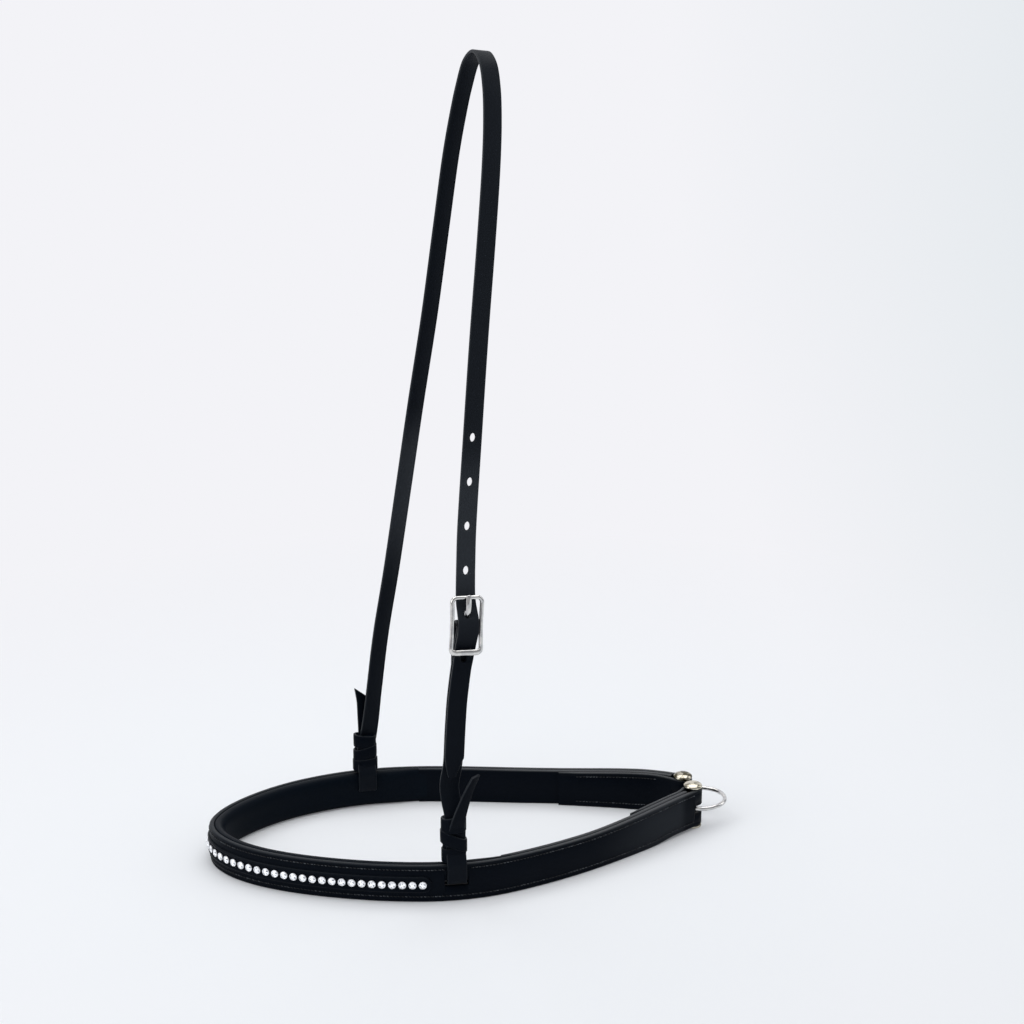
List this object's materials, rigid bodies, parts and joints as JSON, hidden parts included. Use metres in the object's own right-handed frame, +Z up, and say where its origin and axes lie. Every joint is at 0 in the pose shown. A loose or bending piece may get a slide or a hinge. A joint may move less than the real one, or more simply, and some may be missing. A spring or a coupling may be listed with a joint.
{
  "type": "noseband",
  "caption": "Padded black leather noseband with a raised crystal row, a rear ring held by domed bolts, and a buckled hanging strap braided through slots.",
  "frame": {"origin": "middle of the footprint of the whole object's box, on the ground that the band stands on", "axes": "+Z up, the way the hanging strap stands; +X towards the ring at the back of the band; -Y towards the near side, which has the buckle"},
  "size_m": [0.366, 0.1725, 0.5321],
  "materials": {
    "strap_leather": "smooth satin black bridle leather",
    "lining_leather": "soft matt black leather",
    "felt_filler": "dense felt",
    "crystals": "foil backed, cut",
    "bolt_metal": "pale, polished",
    "nickel": "polished nickel plate"
  },
  "bodies": {
    "noseband": {"noseband_strap": "strap_leather", "noseband_lining": "lining_leather", "noseband_pad": "felt_filler", "near_backing": "strap_leather", "far_backing": "strap_leather", "raised_channel": "strap_leather", "crystal_chain": "crystals"},
    "hanger": {"crown_strap": "strap_leather", "cheek_strap": "strap_leather"},
    "frame": {"buckle_frame": "nickel"},
    "tongue": {"buckle_tongue": "nickel"},
    "ring": {"rear_ring": "nickel"},
    "near_screw": {"near_bolt": "bolt_metal", "near_bolt_foot": "bolt_metal"},
    "far_screw": {"far_bolt": "bolt_metal", "far_bolt_foot": "bolt_metal"}
  },
  "joints": [
    {"name": "hanger_swing", "type": "hinge", "parent": "noseband", "child": "hanger", "pos_m": [-0.0442, 0.00066, 0.0133], "axis": [-0.2584, 0.966, 0], "range_deg": [-6, 6], "stiffness_Nm_per_rad": 3},
    {"name": "frame_tilt", "type": "hinge", "parent": "hanger", "child": "frame", "pos_m": [-0.01453, -0.06193, 0.18193], "axis": [0.9735, 0.2109, -0.0886], "range_deg": [-2, 0]},
    {"name": "tongue_lift", "type": "hinge", "parent": "hanger", "child": "tongue", "pos_m": [-0.01453, -0.06193, 0.18193], "axis": [0.9735, 0.2109, -0.0886], "range_deg": [0, 4]},
    {"name": "ring_swing", "type": "hinge", "parent": "noseband", "child": "ring", "pos_m": [0.15435, 0.0109, 0.0145], "axis": [-0.1569, 0.9876, 0], "range_deg": [-10, 10]},
    {"name": "near_bolt_spin", "type": "hinge", "parent": "noseband", "child": "near_screw", "pos_m": [0.1557, 0.0024, 0], "axis": [0, 0, 1], "continuous": true},
    {"name": "far_bolt_spin", "type": "hinge", "parent": "noseband", "child": "far_screw", "pos_m": [0.153, 0.0194, 0], "axis": [0, 0, 1], "continuous": true}
  ]
}
